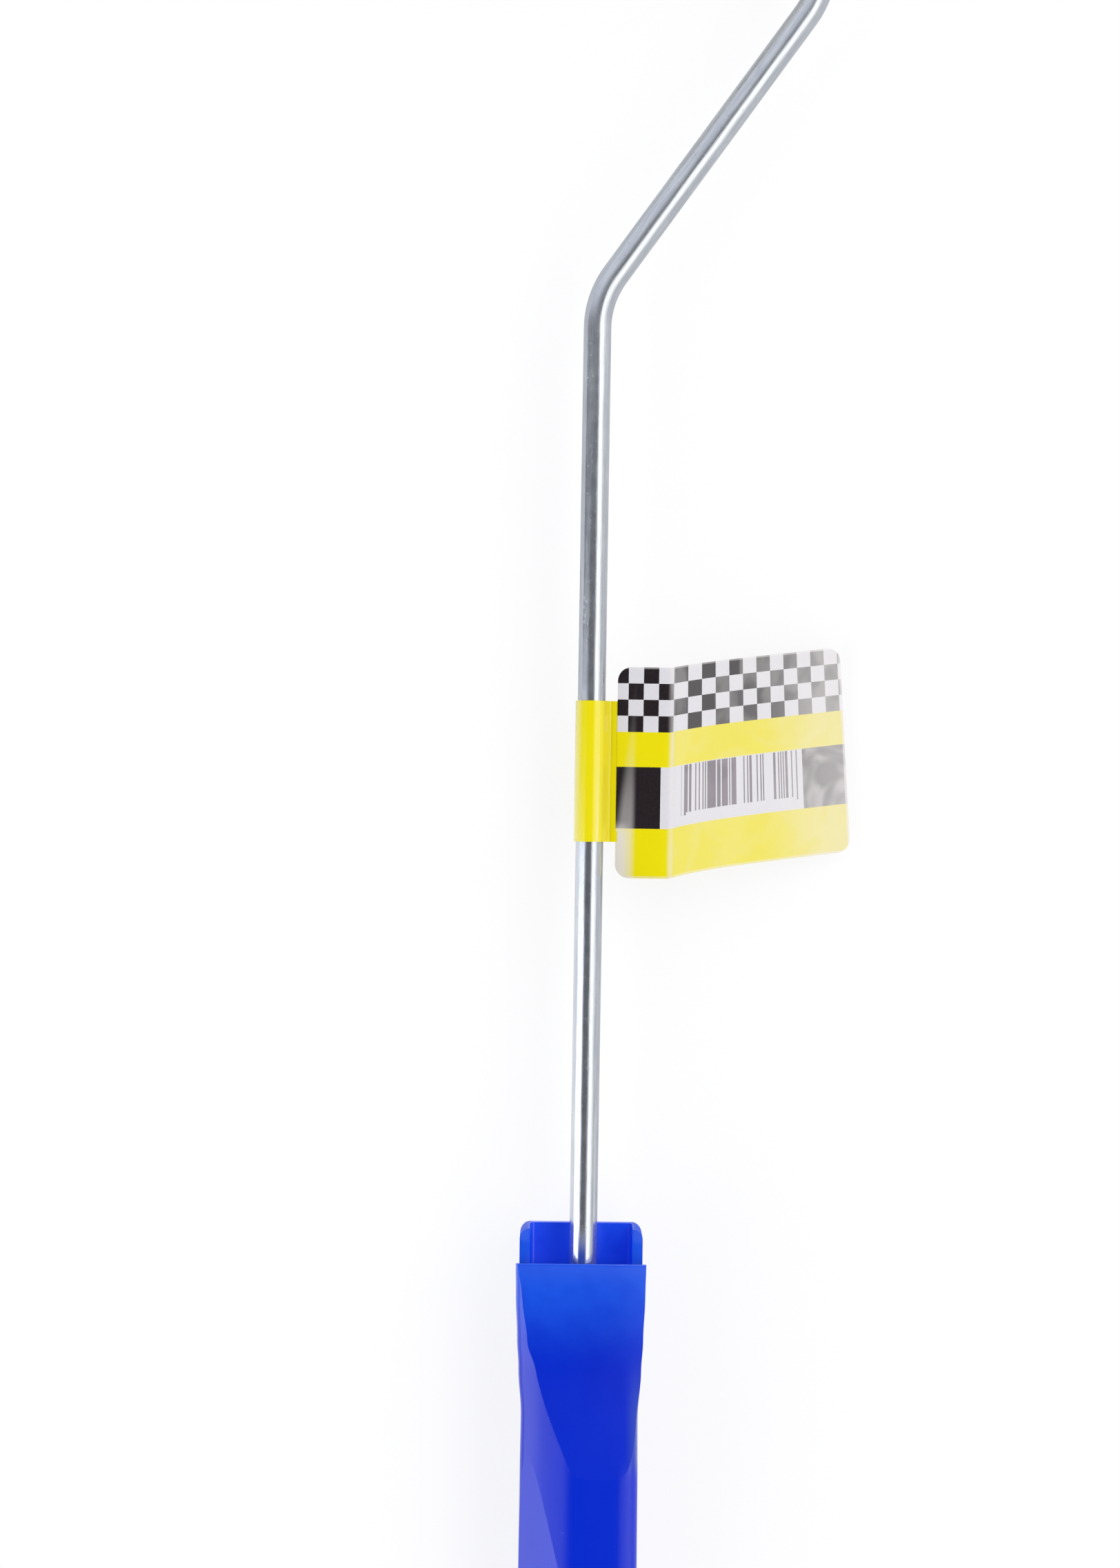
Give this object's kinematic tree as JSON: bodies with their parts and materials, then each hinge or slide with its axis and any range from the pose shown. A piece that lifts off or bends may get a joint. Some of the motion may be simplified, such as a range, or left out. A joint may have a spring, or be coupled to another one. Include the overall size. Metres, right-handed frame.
{
  "type": "mini paint roller",
  "caption": "Long-reach mini paint roller: hollow moulded handle, bent wire frame, and a foam sleeve that spins on the axle.",
  "frame": {"origin": "middle of the hanging hole in the handle's tail, on the wire shank's axis", "axes": "+Y along the wire shank from the handle to the roller, +X towards the frame's outer leg, +Z out of the face that the thumb rests on"},
  "size_m": [0.12, 0.4556, 0.03],
  "materials": {
    "handle_plastic": "semi-gloss moulded polypropylene, blue",
    "socket_plastic": "plain moulded polypropylene, blue",
    "zinc_wire": "bright drawn wire with a thin zinc plating and faint die lines",
    "label_paper": "laminated paper label, yellow with black and white printed bands",
    "washer_nylon": "natural nylon",
    "clip_steel": "phosphated spring steel",
    "core_plastic": "extruded polypropylene tube",
    "roller_foam": "open-cell foam with fine pores",
    "plug_plastic": "moulded polypropylene, dark grey"
  },
  "bodies": {
    "frame": {"handle_body": "handle_plastic", "wire_socket": "socket_plastic", "wire_frame": "zinc_wire", "price_label": "label_paper", "stop_washer": "washer_nylon", "axle_clip": "clip_steel"},
    "sleeve": {"core_tube": "core_plastic", "foam_cover": "roller_foam", "inner_plug": "plug_plastic", "outer_plug": "plug_plastic", "end_cap": "plug_plastic"}
  },
  "joints": [
    {"name": "sleeve_spin", "type": "hinge", "parent": "frame", "child": "sleeve", "pos_m": [0, 0.42964, 0], "axis": [1, 0, 0], "continuous": true}
  ]
}
